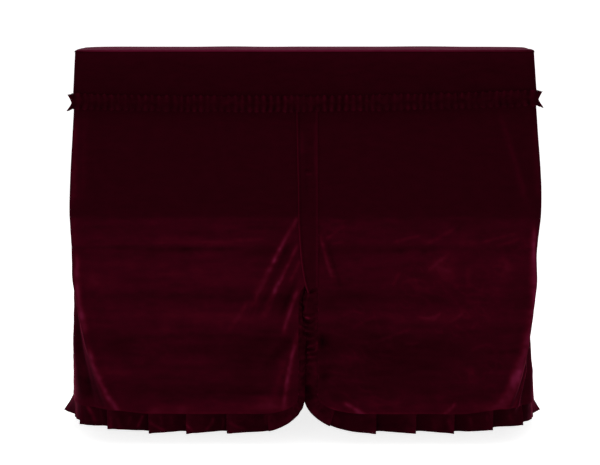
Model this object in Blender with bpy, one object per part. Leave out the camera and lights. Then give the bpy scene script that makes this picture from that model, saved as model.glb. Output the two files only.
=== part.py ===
"""Velvet cover for an upright piano: a top panel, a valance with a ruche, two front curtains that meet
in a band and a frilled opening, side and back panels, and a pleated frill along the hem.

Metres, +Z up. The origin is under the middle of the top panel, where the piano's lid carries it. +X is
to the right as seen from the front, and the front faces -Y. Each sheet is closed and 1.6 to 2 mm thick.
"""
from collections import namedtuple
from math import pi

import bpy
import numpy as np

# Driving dimensions of the piano-shaped body
TOP_DEPTH = 0.38          # lid, front to back
LEDGE_DEPTH = 0.44        # from the middle of the lid to the front edge of the key bed
LEDGE_DROP = 0.53         # from the lid down to that edge
SLOPE_SAG = 0.015         # how far the cloth hangs in between lid and key bed
SEAM_Z = -1.176           # lower edge of the panels, where the frill is sewn
HEM_Z = -1.236            # lower edge of the frill
BACK_HEM_Z = -1.232
PANEL_TOP_Z = -0.004      # upper edges of the panels, under the top panel
SIDE_SEAM = 0.03          # side seam, behind the rounded front corner

# Cloth
CLOTH = 0.0020
FRILL_CLOTH = 0.0016
LAYER = 0.0045            # from one layer's outer face to the next one's
LIP = 0.006               # how far the top panel's edge turns down
EDGE_GAP = 0.0010         # between the edges of sheets that are sewn edge to edge

# Valance, ruche and band
VALANCE_Z = -0.176
VALANCE_DROP = 0.010      # how much lower the skirt's seam lies on the sides
RUCHE_HALF = 0.0235       # half the height of the trim
RUCHE_PITCH = 0.024
RUCHE_FLARE = 0.0085
RUCHE_RIPPLE = 0.0045
BAND_TOP_Z = -0.180
BAND_END_Z = -0.757
BAND_RIGHT = 0.044
BAND_LEFT = -0.028

# Frills: small gathers up the slit, knife pleats along the hem
SLIT_PITCH = 0.027
SLIT_CURL = 0.019         # how far the right frill curls back near its lower end
FRILL_TUCK = 0.008        # how far a frill reaches up behind the panel's edge
PLEAT_START = 0.028       # how far the hem frill starts behind the end of the slit frill
PLEAT_UNDER = 0.024       # how far each pleat is folded back
PLEAT_RISE = 0.007        # the hem is lowest at a pleat's fold
CORNER_RISE = 0.017       # how much higher the hem hangs at the front corners
SIDE_PLEATS = 4

VELVET = (0.052, 0.002, 0.008)
VELVET_TOP = (0.120, 0.012, 0.030)
VELVET_TRIM = (0.030, 0.001, 0.005)

# Half width of the body and the radius of its front corners, from the lid down
Level = namedtuple("Level", "z left right corner")
LEVELS = (
    Level(0.000, 0.760, 0.760, 0.016),
    Level(-0.213, 0.763, 0.767, 0.018),
    Level(-0.474, 0.764, 0.770, 0.022),
    Level(-0.627, 0.757, 0.756, 0.030),
    Level(-0.804, 0.759, 0.746, 0.060),
    Level(-0.963, 0.764, 0.750, 0.095),
    Level(-1.062, 0.763, 0.756, 0.120),
    Level(-1.176, 0.768, 0.764, 0.148),
    Level(-1.250, 0.772, 0.768, 0.152),
)

# The two curtains at the opening: where the edge hangs, measured from the centre, the width and height
# of the rounded lower corner, and where the pleated frill takes over from the gathered one. folds are
# the places of the pleats along the hem, and flare is how far the side frill stands out.
Curtain = namedtuple("Curtain", "edge wide high folds flare")
LEFT, RIGHT = -1, 1
CURTAINS = {
    LEFT: Curtain(0.020, 0.130, 0.055, (0.123, 0.255, 0.388, 0.511, 0.647, 0.772), 0.036),
    RIGHT: Curtain(0.044, 0.150, 0.055, (0.100, 0.234, 0.365, 0.490, 0.617, 0.745), 0.032),
}

# The slit between the two frills: its middle line wanders, and gap is half its width. At its foot the
# right frill curls back behind the left one, so the gap is negative there.
Slit = namedtuple("Slit", "z middle gap")
SLIT = (
    Slit(-0.757, -0.003, 0.0035),
    Slit(-0.800, -0.007, 0.0045),
    Slit(-0.845, -0.004, 0.0040),
    Slit(-0.900, 0.004, 0.0045),
    Slit(-0.960, 0.006, 0.0055),
    Slit(-1.020, 0.005, 0.0055),
    Slit(-1.065, 0.002, 0.0010),
    Slit(-1.121, -0.001, -0.0020),
)

# Folds as soft ridges, or hollows where the height is negative. run is the distance round the cover
# from its front centre, and each fold curves through three points.
Fold = namedtuple("Fold", "side run_a z_a run_b z_b run_c z_c width height")
FOLDS = (
    Fold(LEFT, 0.018, -0.530, 0.095, -0.699, 0.200, -0.910, 0.013, 0.0115),
    Fold(LEFT, 0.026, -0.625, 0.080, -0.745, 0.125, -0.850, 0.011, 0.0090),
    Fold(LEFT, 0.024, -0.790, 0.050, -0.845, 0.074, -0.910, 0.012, 0.0085),
    Fold(LEFT, 0.020, -0.930, 0.055, -1.030, 0.070, -1.180, 0.013, 0.0115),
    Fold(RIGHT, 0.046, -0.560, 0.068, -0.675, 0.102, -0.780, 0.012, 0.0090),
    Fold(LEFT, 0.752, -0.620, 0.700, -0.930, 0.600, -1.240, 0.020, 0.0180),
    Fold(LEFT, 0.734, -0.790, 0.716, -0.890, 0.698, -0.990, 0.010, 0.0060),
    Fold(LEFT, 0.790, -0.740, 0.748, -0.960, 0.680, -1.260, 0.030, -0.0150),
    Fold(LEFT, 1.000, -0.960, 1.010, -1.120, 1.030, -1.330, 0.130, 0.0200),
    Fold(RIGHT, 0.742, -0.620, 0.728, -0.920, 0.630, -1.240, 0.020, 0.0180),
    Fold(RIGHT, 0.752, -1.000, 0.722, -1.090, 0.690, -1.190, 0.012, 0.0090),
    Fold(RIGHT, 0.800, -0.760, 0.776, -0.970, 0.712, -1.260, 0.028, -0.0140),
    Fold(RIGHT, 0.980, -0.980, 1.000, -1.120, 1.020, -1.330, 0.130, 0.0160),
    Fold(RIGHT, 0.650, -0.235, 0.690, -0.350, 0.722, -0.470, 0.022, 0.0055),
    Fold(RIGHT, 0.498, -1.110, 0.486, -1.145, 0.466, -1.200, 0.012, 0.0050),
)

# Where the grid lines of a front panel lie, as shares of its width and of its height
PANEL_COLUMNS = np.concatenate([np.linspace(0, 0.24, 15), np.linspace(0.24, 0.72, 6)[1:],
                                np.linspace(0.72, 1, 8)[1:]])
PANEL_ROWS = np.concatenate([np.linspace(0, 0.41, 5), np.linspace(0.41, 0.50, 4)[1:],
                             np.linspace(0.50, 1, 17)[1:]])


def spline(at, places, values):
    """A smooth curve through a table's values."""
    places, values = np.asarray(places), np.asarray(values)
    slopes = np.gradient(values, places)
    at = np.clip(at, places[0], places[-1])
    i = np.clip(np.searchsorted(places, at, side="right") - 1, 0, len(places) - 2)
    step = places[i + 1] - places[i]
    t = (at - places[i]) / step
    start = values[i] * (1 + 2 * t) * (1 - t) ** 2 + values[i + 1] * t * t * (3 - 2 * t)
    return start + step * t * (1 - t) * (slopes[i] * (1 - t) - slopes[i + 1] * t)


def level(z, column, table=LEVELS):
    """A column of a table that runs down the cover, at height z."""
    rows = table[::-1]
    return spline(z, [row.z for row in rows], [getattr(row, column) for row in rows])


def eased(t):
    """0 to 1 with soft ends."""
    t = np.clip(t, 0, 1)
    return t * t * (3 - 2 * t)


def half_width(side, z):
    return level(z, "left" if side == LEFT else "right")


def front_depth(z):
    """How far in front of the middle the front hangs: out over the slope, then straight down."""
    share = np.clip(-z / LEDGE_DROP, 0, 1)
    slope = TOP_DEPTH / 2 - (LEDGE_DEPTH - TOP_DEPTH / 2) * z / LEDGE_DROP
    slope = slope - SLOPE_SAG * np.sin(pi * share)
    softness = 0.006
    hung = -softness * np.logaddexp(-slope / softness, -LEDGE_DEPTH / softness)
    below = eased((-z - LEDGE_DROP) / 0.1)
    return hung + below * 0.0025 * np.sin(2 * pi * z / 0.21 + 0.6)


def fold_height(fold, run, z):
    """One fold's height at the given places, largest on its middle line and nothing at its ends."""
    t = np.linspace(0, 1, 25)
    bend_run = 2 * fold.run_b - (fold.run_a + fold.run_c) / 2
    bend_z = 2 * fold.z_b - (fold.z_a + fold.z_c) / 2
    line_run = (1 - t) ** 2 * fold.run_a + 2 * t * (1 - t) * bend_run + t * t * fold.run_c
    line_z = (1 - t) ** 2 * fold.z_a + 2 * t * (1 - t) * bend_z + t * t * fold.z_c
    away = np.hypot(run[..., None] - line_run, z[..., None] - line_z)
    nearest = t[away.argmin(axis=-1)]
    taper = eased(nearest / 0.22) * eased((1 - nearest) / 0.22)
    return fold.height * taper * np.exp(-(away.min(axis=-1) / fold.width) ** 2)


def relief(side, run, z):
    """The folds of one side, and the slow waves of cloth that hangs free below the key bed."""
    height = sum(fold_height(fold, run, z) for fold in FOLDS if fold.side == side)
    hanging = eased((-z - LEDGE_DROP) / 0.25)
    waves = np.sin(2 * pi * (run / 0.47 + z / 1.9) + side) * np.sin(2 * pi * run / 0.83 + 0.5)
    return height + 0.004 * hanging * waves


def wall(side, run, z, proud=0.0):
    """Points of the outer face, run metres round from the front centre and proud of the panels."""
    run, z = np.broadcast_arrays(np.asarray(run, float), np.asarray(z, float))
    radius = level(z, "corner")
    flat = half_width(side, z) - radius
    turn = np.clip((run - flat) / radius, 0, pi / 2)
    along_side = np.maximum(run - flat - radius * pi / 2, 0)
    out = proud + relief(side, run, z)
    x = np.minimum(run, flat) + (radius + out) * np.sin(turn)
    y = radius - (radius + out) * np.cos(turn) + along_side - front_depth(z)
    return np.stack([side * x, y, z], axis=-1)


def seam_run(side, z):
    """Where the side seam lies, measured round from the front centre."""
    return half_width(side, z) + (pi / 2 - 1) * level(z, "corner") + SIDE_SEAM


def back_run(side, z):
    """Where the side meets the back, measured round from the front centre."""
    corner = level(z, "corner")
    return half_width(side, z) + (pi / 2 - 2) * corner + TOP_DEPTH / 2 + front_depth(z)


def velvet(name, colour):
    material = bpy.data.materials.new(name)
    material.use_nodes = True
    shader = material.node_tree.nodes["Principled BSDF"]
    shader.inputs["Base Color"].default_value = (*colour, 1)
    shader.inputs["Roughness"].default_value = 0.85
    shader.inputs["Metallic"].default_value = 0.0
    shader.inputs["Sheen Weight"].default_value = 1.0
    material.diffuse_color = (*colour, 1)
    return material


def inner_face(grid, thickness):
    """The grid moved in along its normals."""
    normal = np.cross(np.gradient(grid, axis=0), np.gradient(grid, axis=1))
    return grid - thickness * normal / np.linalg.norm(normal, axis=-1, keepdims=True)


def cloth(name, grid, thickness, colour, inner=None):
    """A closed sheet. The grid is its outer face: rows run down, columns to the right from outside."""
    rows, columns = grid.shape[:2]
    inner = inner_face(grid, thickness) if inner is None else inner
    points = np.concatenate([grid.reshape(-1, 3), inner.reshape(-1, 3)])
    number = np.arange(rows * columns).reshape(rows, columns)
    a, b = number[:-1, :-1].ravel(), number[:-1, 1:].ravel()
    c, d = number[1:, 1:].ravel(), number[1:, :-1].ravel()
    outside = np.concatenate([np.stack([a, d, c], 1), np.stack([a, c, b], 1)])
    inside = outside[:, ::-1] + rows * columns
    rim = np.concatenate([number[0, :-1], number[:-1, -1], number[-1, :0:-1], number[:0:-1, 0]])
    after = np.roll(rim, -1)
    low, low_after = rim + rows * columns, after + rows * columns
    edge = np.concatenate([np.stack([rim, after, low_after], 1), np.stack([rim, low_after, low], 1)])
    mesh = bpy.data.meshes.new(name)
    mesh.from_pydata(points.tolist(), [], np.concatenate([outside, inside, edge]).tolist())
    mesh.shade_smooth()
    mesh.set_sharp_from_angle(angle=0.9)
    mesh.materials.append(velvet(f"velvet_{name}", colour))
    sheet = bpy.data.objects.new(name, mesh)
    bpy.context.collection.objects.link(sheet)
    return sheet


def outward(side, grid):
    """Columns run away from the front centre, so the left side's are turned round."""
    return grid if side == RIGHT else grid[:, ::-1]


def side_name(side):
    return "left" if side == LEFT else "right"


def top_face(inset, height):
    """One face of the top panel, flat with a turned edge. inset and height run out to the edge."""
    half_x, half_y = LEVELS[0].left + LAYER, TOP_DEPTH / 2 + LAYER

    def lines(half, count):
        """Grid lines across the panel, with the turned edge at both ends, and their heights."""
        flat = np.linspace(inset[0] - half, half - inset[0], count)
        edge = half - inset[1:]
        return (np.concatenate([-edge[::-1], flat, edge]),
                np.concatenate([height[:0:-1], np.full(count, height[0]), height[1:]]))

    (x, x_height), (y, y_height) = lines(half_x, 13), lines(half_y, 5)
    x, y = np.meshgrid(x, y[::-1])
    droop = 0.0025 * np.exp(-((half_x - abs(x)) / 0.03 + (half_y - abs(y)) / 0.05))
    swell = 0.0012 * np.sin(x * 9 + 1) ** 2 * np.sin(y * 14 + x * 5) ** 2
    z = np.minimum(x_height[None, :], y_height[::-1, None])
    z = np.where(z > -LIP, z - droop, z) + np.where(z == height[0], swell, 0)
    return np.stack([x, y, z], axis=-1)


def top_panel():
    """The rectangle over the lid. Its edge turns down, and its corners droop a little."""
    outer = top_face(np.array([0.0022, 0.0007, 0.0]), np.array([CLOTH, 0.0004, -LIP]))
    inner = top_face(np.array([0.0030, 0.0025, CLOTH]), np.array([0.0, -0.0010, -LIP]))
    cloth("top_panel", outer, CLOTH, VELVET_TOP, inner)


def curtain_edge(side, z):
    """The curtain's edge at the centre: under the band above, drawn aside in the opening below."""
    tucked = 0.006 if side == LEFT else 0.010
    return tucked + (CURTAINS[side].edge - tucked) * eased((-z + BAND_END_Z + 0.06) / 0.08)


def curtain_hem(side, run):
    """Height of the panels' lower edge, which curves up at the centre and rises at the corner."""
    curtain = CURTAINS[side]
    inset = np.clip(1 - (run - curtain.edge) / curtain.wide, 0, 1)
    lifted = CORNER_RISE * (eased((run - 0.50) / 0.17) - eased((run - 1.0) / 0.32))
    return SEAM_Z + curtain.high * (1 - np.sqrt(1 - inset ** 2)) + lifted


def front_panel(side):
    """One front curtain, from the centre edge round the corner to the side seam."""
    share, down = np.meshgrid(PANEL_COLUMNS, PANEL_ROWS)
    edge = CURTAINS[side].edge
    bottom = curtain_hem(side, edge + share * (seam_run(side, SEAM_Z) - edge))
    z = PANEL_TOP_Z + down * (bottom - PANEL_TOP_Z)
    near, far = curtain_edge(side, z), seam_run(side, z)
    grid = wall(side, near + share * (far - near), z)
    cloth(f"front_panel_{side_name(side)}", outward(side, grid), CLOTH, VELVET)


def side_panel(side):
    """The side, from the seam behind the front corner to the back."""
    share, down = np.meshgrid(np.linspace(0, 1, 8), PANEL_ROWS)
    front, back = seam_run(side, SEAM_Z), back_run(side, SEAM_Z)
    z = PANEL_TOP_Z + down * (curtain_hem(side, front + share * (back - front)) - PANEL_TOP_Z)
    near, far = seam_run(side, z) + EDGE_GAP, back_run(side, z) - CLOTH - EDGE_GAP
    grid = wall(side, near + share * (far - near), z)
    cloth(f"side_panel_{side_name(side)}", outward(side, grid), CLOTH, VELVET)


def back_panel():
    """A plain back with slow upright waves, level with the ends of the side panels."""
    share, down = np.meshgrid(np.linspace(1, -1, 15), np.linspace(0, 1, 11))
    z = PANEL_TOP_Z + down * (BACK_HEM_Z - PANEL_TOP_Z)
    half = np.where(share > 0, half_width(RIGHT, z), half_width(LEFT, z))
    x = share * half
    waves = np.cos(2 * pi * x / 0.38) * (1 - share ** 2) * eased(down / 0.4)
    y = TOP_DEPTH / 2 + 0.006 * waves * down
    cloth("back_panel", np.stack([x, y, z], axis=-1), CLOTH, VELVET)


def valance_z(x_share):
    """The ruche's stitch line sags in the middle."""
    return VALANCE_Z + 0.014 * x_share ** 2 + 0.006 * x_share


def valance_front():
    """The short skirt over the slope, from corner to corner."""
    top_z = -LIP - EDGE_GAP
    sides = []
    for side in (LEFT, RIGHT):
        share, down = np.meshgrid(np.concatenate([np.linspace(0, 0.94, 9), [0.965, 0.985, 1]]),
                                  np.linspace(0, 1, 4))
        z = top_z + down * (valance_z(side * share) - top_z)
        end = half_width(side, z) + (pi / 2 - 1) * level(z, "corner")
        sides.append(wall(side, share * end, z, LAYER))
    grid = np.concatenate([sides[0][:, :0:-1], sides[1]], axis=1)
    cloth("valance_front", grid, CLOTH, VELVET)


def valance_side(side):
    """The same skirt along one side."""
    top_z = -LIP - EDGE_GAP
    share, down = np.meshgrid(np.linspace(0, 1, 9), np.linspace(0, 1, 4))
    z = top_z + down * (valance_z(side) - VALANCE_DROP - top_z)
    near = half_width(side, z) + (pi / 2 - 1) * level(z, "corner") + EDGE_GAP
    grid = wall(side, near + share * (back_run(side, z) - near), z, LAYER)
    cloth(f"valance_{side_name(side)}", outward(side, grid), CLOTH, VELVET)


def ruche():
    """A strip gathered on its middle line, whose two edges stand out from the cloth and ripple."""
    sides = []
    for side in (LEFT, RIGHT):
        middle = valance_z(side)
        length = back_run(side, middle)
        gathers = round(length / RUCHE_PITCH)
        run = np.linspace(0, length, 2 * gathers + 1)
        across = np.array([1, 0.38, -0.38, -1])
        run, across = np.meshgrid(run, across)
        corner = half_width(side, middle)
        centre = valance_z(side * np.clip(run / corner, 0, 1)) + 0.005
        centre = centre - VALANCE_DROP * eased((run - corner + 0.02) / 0.04)
        ripple = RUCHE_RIPPLE * np.cos(pi * run / length * 2 * gathers)
        out = LAYER + FRILL_CLOTH + 0.001 + abs(across) ** 1.5 * (RUCHE_FLARE + ripple)
        z = centre + across * RUCHE_HALF
        sides.append(wall(side, run, z, out))
    grid = np.concatenate([sides[0][:, :0:-1], sides[1]], axis=1)
    cloth("ruche", grid, FRILL_CLOTH, VELVET_TRIM)


def centre_band():
    """The band along the right curtain's edge, lying over the left curtain and tapering at its end."""
    share, down = np.meshgrid(np.linspace(0, 1, 4), np.linspace(0, 1, 25))
    z = BAND_TOP_Z + down * (BAND_END_Z - BAND_TOP_Z)
    left = BAND_LEFT + 0.028 * eased((-z - 0.60) / 0.16)
    x = left + share * (BAND_RIGHT - left)
    over_left, over_right = wall(LEFT, -x, z, LAYER), wall(RIGHT, x, z, LAYER)
    to_right = eased(x / 0.03 + 0.5)[..., None]
    cloth("centre_band", over_left + to_right * (over_right - over_left), CLOTH, VELVET)


def slit_frill(side):
    """The gathered frill round a curtain's lower corner and up the edge of the opening."""
    curtain = CURTAINS[side]
    first = np.arcsin(1 - (curtain.folds[0] - curtain.edge) / curtain.wide)
    bend = np.hypot(curtain.wide, curtain.high) / 2 ** 0.5 * (pi / 2 - first)
    rise = BAND_END_Z - (SEAM_Z + curtain.high)
    gathers = round((bend + rise) / SLIT_PITCH)
    along, out = np.meshgrid(np.linspace(0, bend + rise, 3 * gathers + 1), np.linspace(0, 1, 4))
    angle = first + (pi / 2 - first) * np.clip(along / bend, 0, 1)
    across, down = curtain.high * np.sin(angle), curtain.wide * np.cos(angle)
    across, down = across / np.hypot(across, down), down / np.hypot(across, down)
    edge_run = curtain.edge + curtain.wide * (1 - np.sin(angle))
    edge_z = SEAM_Z + curtain.high * (1 - np.cos(angle)) + np.maximum(along - bend, 0)
    slit_width = curtain.edge - side * level(edge_z, "middle", SLIT) - level(edge_z, "gap", SLIT)
    to_hem = (np.cos(angle) / np.cos(first)) ** 1.6
    width = slit_width + (SEAM_Z - HEM_Z - slit_width) * to_hem
    reach = out * (FRILL_TUCK + width) - FRILL_TUCK
    settled = eased(along / 0.04)
    ripple = 0.006 * out * settled * np.sin(2 * pi * along * gathers / (bend + rise) + side)
    curl = SLIT_CURL * out ** 2 * np.exp(-((edge_z - SEAM_Z - 0.060) / 0.06) ** 2) * (side == RIGHT)
    depth = ripple - LAYER - 0.0015 - 0.006 * out * settled - curl
    grid = wall(side, edge_run - reach * across, edge_z - reach * down, depth)
    grid = grid if side == LEFT else grid[:, ::-1]
    cloth(f"slit_frill_{side_name(side)}", grid, FRILL_CLOTH, VELVET_TRIM)


def pleat_path(folds):
    """Knife pleats in plan: places along the hem, depths at the seam and at the hem, and a share that
    is 1 at each fold. Each face comes forward to its fold, turns back under it and starts again."""
    path = [(folds[0] - PLEAT_START, 1.0, 0.0)]
    for start, end in zip((folds[0] - PLEAT_START, *folds[1:-1]), folds[1:]):
        path += [(start + share * (end - start), 1 - share, share) for share in (0.16, 0.4, 0.64, 0.87)]
        path.append((end, 0.0, 1.0))
        if end < folds[-1]:
            back = end - PLEAT_UNDER
            path += [(end + 0.0005, 0.35, 1.0), (end, 0.72, 1.0), (back, 0.76, 0.8),
                     (back - 0.004, 0.88, 0.75), (back, 1.0, 0.7)]
    return np.array(path).T


def flare(side, run):
    """How far the hem stands out from the corner back along the side."""
    rise, fall = eased((run - 0.86) / 0.14), eased((run - 1.08) / 0.25)
    return CURTAINS[side].flare * rise * (1 - 0.6 * fall)


def hem_frill(side, name, folds):
    """The pleated frill along one stretch of the hem, its upper edge behind the panel's lower edge."""
    place, depth, fold = pleat_path(folds)
    at_edge = FRILL_TUCK / (FRILL_TUCK + SEAM_Z - HEM_Z) + 0.02
    run, down = np.meshgrid(place, [0, at_edge, 0.5, 1])
    seam_z = curtain_hem(side, run)
    top_z, bottom = seam_z + FRILL_TUCK, seam_z + HEM_Z - SEAM_Z - PLEAT_RISE * fold
    z = top_z + down * (bottom - top_z)
    layers = 0.0065 + 0.0075 * down
    stray = 0.0015 * down * np.sin(run * 90 + side) * (1 - depth)
    below = np.maximum(down - at_edge, 0) / (1 - at_edge)
    out = stray - LAYER - 0.0005 - layers * depth + flare(side, run) * below ** 1.15
    cloth(name, outward(side, wall(side, run, z, out)), FRILL_CLOTH, VELVET_TRIM)


def hem_frills(side):
    """The front stretch, from the rounded corner to the side seam, and the side stretch behind it."""
    word, seam = side_name(side), seam_run(side, SEAM_Z)
    hem_frill(side, f"hem_frill_front_{word}", (*CURTAINS[side].folds, seam))
    side_folds = np.linspace(seam, back_run(side, SEAM_Z) - 0.012, SIDE_PLEATS + 1)
    hem_frill(side, f"hem_frill_side_{word}", tuple(side_folds))


for old in list(bpy.data.objects):
    bpy.data.objects.remove(old)

top_panel()
back_panel()
valance_front()
ruche()
centre_band()
for side in (LEFT, RIGHT):
    front_panel(side)
    side_panel(side)
    valance_side(side)
    slit_frill(side)
    hem_frills(side)
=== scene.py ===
# %% [markdown]
# # A velvet cover for an upright piano
#
# The real thing is a fitted bag of dark burgundy velvet. A rectangle lies on the lid, a short valance
# hangs from its edge with a gathered ruche along its lower seam, and two curtains hang in front. They
# meet in a sewn band, part in a frilled opening lower down, and end in a pleated frill above the floor.
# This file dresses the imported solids: each sheet is modelled again with a finer grid, with its creases,
# gathers and seams, and gets a velvet material.

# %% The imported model
from collections import namedtuple
from math import pi, radians

import bpy
import numpy as np
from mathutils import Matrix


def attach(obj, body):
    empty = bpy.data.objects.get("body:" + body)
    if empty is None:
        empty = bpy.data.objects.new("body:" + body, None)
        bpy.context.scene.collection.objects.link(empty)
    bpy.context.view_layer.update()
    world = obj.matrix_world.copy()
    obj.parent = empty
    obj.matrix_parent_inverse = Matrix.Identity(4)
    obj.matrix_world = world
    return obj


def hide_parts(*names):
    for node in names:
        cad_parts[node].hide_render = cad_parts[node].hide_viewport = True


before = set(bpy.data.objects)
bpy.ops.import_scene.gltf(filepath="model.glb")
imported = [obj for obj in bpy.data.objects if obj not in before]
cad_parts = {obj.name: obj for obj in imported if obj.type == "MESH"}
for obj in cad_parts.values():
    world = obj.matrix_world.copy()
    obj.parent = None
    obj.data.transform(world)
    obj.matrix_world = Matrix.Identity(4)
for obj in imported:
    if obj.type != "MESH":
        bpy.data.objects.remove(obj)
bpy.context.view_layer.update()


def add_object(name, data):
    """A new object in the scene."""
    thing = bpy.data.objects.new(name, data)
    bpy.context.collection.objects.link(thing)
    return thing


# %% [markdown]
# ## The camera
#
# The photograph is taken from about six metres away with a long lens, a little above the lid, so the
# top shows as a thin strip. The picture is 600 pixels wide, and the focal length follows from how many
# pixels a metre covers at that distance.

# %% Camera
FRAME_WIDTH, FRAME_HEIGHT = 600, 465
FOCAL_PIXELS = 1797
SENSOR = 36.0

CAMERA_PLACE = (-0.015, -6.19, 0.18)
CAMERA_TILT = radians(7.5)

lens_data = bpy.data.cameras.new("camera")
lens_data.sensor_width = SENSOR
lens_data.lens = FOCAL_PIXELS / FRAME_WIDTH * SENSOR
camera = add_object("camera", lens_data)
camera.location = CAMERA_PLACE
camera.rotation_euler = (pi / 2 - CAMERA_TILT, 0, 0)
bpy.context.scene.camera = camera
print("lens in mm:", round(lens_data.lens, 1))

# %% [markdown]
# ## Driving dimensions
#
# These are the sizes that the pieces share, in metres: the depth of the top, the key bed's edge that the
# cloth hangs over, the seam above the frill and the hem. The origin is under the middle of the top panel.
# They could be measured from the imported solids, but named values are easier to follow and to change. A
# size that belongs to one piece stands in that piece's cell.

# %% Sizes
TOP_DEPTH = 0.38
LEDGE_DEPTH = 0.44
LEDGE_DROP = 0.53
SEAM_Z = -1.176
HEM_Z = -1.236

LEFT, RIGHT = -1, 1
print("height of the frill:", round(SEAM_Z - HEM_Z, 3))

# %% [markdown]
# ## The body's plan
#
# Seen from above, the cover is a rounded box. Its half width and the radius of its front corners change
# on the way down: tight over the key bed, then a wide soft corner where the cloth hangs free. A cloth
# simulation could find this, but not the photograph's own outline. So a short table holds a row for each
# level, read at the outline, and a smooth curve runs through the rows.

# %% Levels
Level = namedtuple("Level", "z left right corner")
LEVELS = (
    Level(0.000, 0.760, 0.760, 0.016),
    Level(-0.213, 0.763, 0.767, 0.018),
    Level(-0.474, 0.764, 0.770, 0.022),
    Level(-0.627, 0.757, 0.756, 0.030),
    Level(-0.804, 0.759, 0.746, 0.060),
    Level(-0.963, 0.764, 0.750, 0.095),
    Level(-1.062, 0.763, 0.756, 0.120),
    Level(-1.176, 0.768, 0.764, 0.148),
    Level(-1.250, 0.772, 0.768, 0.152),
)



def spline(at, places, values):
    """A smooth curve through a table's values."""
    places, values = np.asarray(places), np.asarray(values)
    slopes = np.gradient(values, places)
    at = np.clip(at, places[0], places[-1])
    i = np.clip(np.searchsorted(places, at, side="right") - 1, 0, len(places) - 2)
    step = places[i + 1] - places[i]
    t = (at - places[i]) / step
    start = values[i] * (1 + 2 * t) * (1 - t) ** 2 + values[i + 1] * t * t * (3 - 2 * t)
    return start + step * t * (1 - t) * (slopes[i] * (1 - t) - slopes[i + 1] * t)


def level(z, column, table=LEVELS):
    """A column of a table that runs down the cover, at height z."""
    rows = table[::-1]
    return spline(z, [row.z for row in rows], [getattr(row, column) for row in rows])


def half_width(side, z):
    return level(z, "left" if side == LEFT else "right")


def eased(t):
    """0 to 1 with soft ends."""
    t = np.clip(t, 0, 1)
    return t * t * (3 - 2 * t)


def bell(t):
    """1 at 0, fading to nothing on both sides."""
    return np.exp(-t ** 2)


print("half width at the hem:", half_width(LEFT, HEM_Z), half_width(RIGHT, HEM_Z))

# %% [markdown]
# ## Folds
#
# The photograph's folds are soft ridges that run down and away from the opening and from the two front
# corners. Each row of the table is one ridge, or a hollow where its height is negative. It curves
# through three points, given as the distance round the cover from its front centre and the height.
# Sculpting could raise them too, but a table can be read, checked and changed row by row.

# %% Fold table
Fold = namedtuple("Fold", "side run_a z_a run_b z_b run_c z_c width height")
FOLDS = (
    Fold(LEFT, 0.018, -0.530, 0.095, -0.699, 0.200, -0.910, 0.010, 0.0110),
    Fold(LEFT, 0.026, -0.625, 0.080, -0.745, 0.125, -0.850, 0.008, 0.0080),
    Fold(LEFT, 0.024, -0.790, 0.050, -0.845, 0.074, -0.910, 0.009, 0.0080),
    Fold(LEFT, 0.020, -0.930, 0.055, -1.030, 0.070, -1.180, 0.010, 0.0110),
    Fold(RIGHT, 0.046, -0.560, 0.068, -0.675, 0.102, -0.780, 0.009, 0.0080),
    Fold(LEFT, 0.752, -0.620, 0.700, -0.930, 0.600, -1.240, 0.017, 0.0180),
    Fold(LEFT, 0.734, -0.790, 0.716, -0.890, 0.698, -0.990, 0.008, 0.0055),
    Fold(LEFT, 0.790, -0.740, 0.748, -0.960, 0.680, -1.260, 0.027, -0.0150),
    Fold(LEFT, 1.000, -0.960, 1.010, -1.120, 1.030, -1.330, 0.130, 0.0200),
    Fold(RIGHT, 0.742, -0.620, 0.728, -0.920, 0.630, -1.240, 0.017, 0.0180),
    Fold(RIGHT, 0.752, -1.000, 0.722, -1.090, 0.690, -1.190, 0.010, 0.0080),
    Fold(RIGHT, 0.800, -0.760, 0.776, -0.970, 0.712, -1.260, 0.026, -0.0140),
    Fold(RIGHT, 0.980, -0.980, 1.000, -1.120, 1.020, -1.330, 0.130, 0.0160),
    Fold(RIGHT, 0.650, -0.235, 0.690, -0.350, 0.722, -0.470, 0.020, 0.0055),
    Fold(RIGHT, 0.498, -1.110, 0.486, -1.145, 0.466, -1.200, 0.011, 0.0050),
)


LINE_STEPS = 16
FAR = 9.0
TAPER = 0.22


def soft_line(points, width, run, z):
    """1 on a curve through three points of the cloth, fading sideways and towards both ends."""
    (run_a, z_a), (run_b, z_b), (run_c, z_c) = points
    t = np.linspace(0, 1, LINE_STEPS + 1)
    bend_run, bend_z = 2 * run_b - (run_a + run_c) / 2, 2 * z_b - (z_a + z_c) / 2
    line_run = (1 - t) ** 2 * run_a + 2 * t * (1 - t) * bend_run + t * t * run_c
    line_z = (1 - t) ** 2 * z_a + 2 * t * (1 - t) * bend_z + t * t * z_c
    away = np.full(run.shape, FAR)
    nearest = np.zeros(run.shape)
    for i in range(len(t) - 1):
        step_run, step_z = line_run[i + 1] - line_run[i], line_z[i + 1] - line_z[i]
        share = (run - line_run[i]) * step_run + (z - line_z[i]) * step_z
        share = np.clip(share / (step_run ** 2 + step_z ** 2), 0, 1)
        gap = np.hypot(run - line_run[i] - share * step_run, z - line_z[i] - share * step_z)
        nearest = np.where(gap < away, t[i] + share * (t[i + 1] - t[i]), nearest)
        away = np.minimum(away, gap)
    taper = eased(nearest / TAPER) * eased((1 - nearest) / TAPER)
    return taper * bell(away / width)


def fold_height(fold, run, z):
    """One fold's height at the given places, largest on its middle line and nothing at its ends."""
    points = ((fold.run_a, fold.z_a), (fold.run_b, fold.z_b), (fold.run_c, fold.z_c))
    return fold.height * soft_line(points, fold.width, run, z)


print("folds in the table:", len(FOLDS))

# %% [markdown]
# ## Small creases
#
# Cloth that was folded away keeps faint level creases, and velvet is never quite smooth. A seeded
# lattice of random values, blended between its points, gives both: stretched wide for the level
# creases, and finer and rounder for the small dents.

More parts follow.
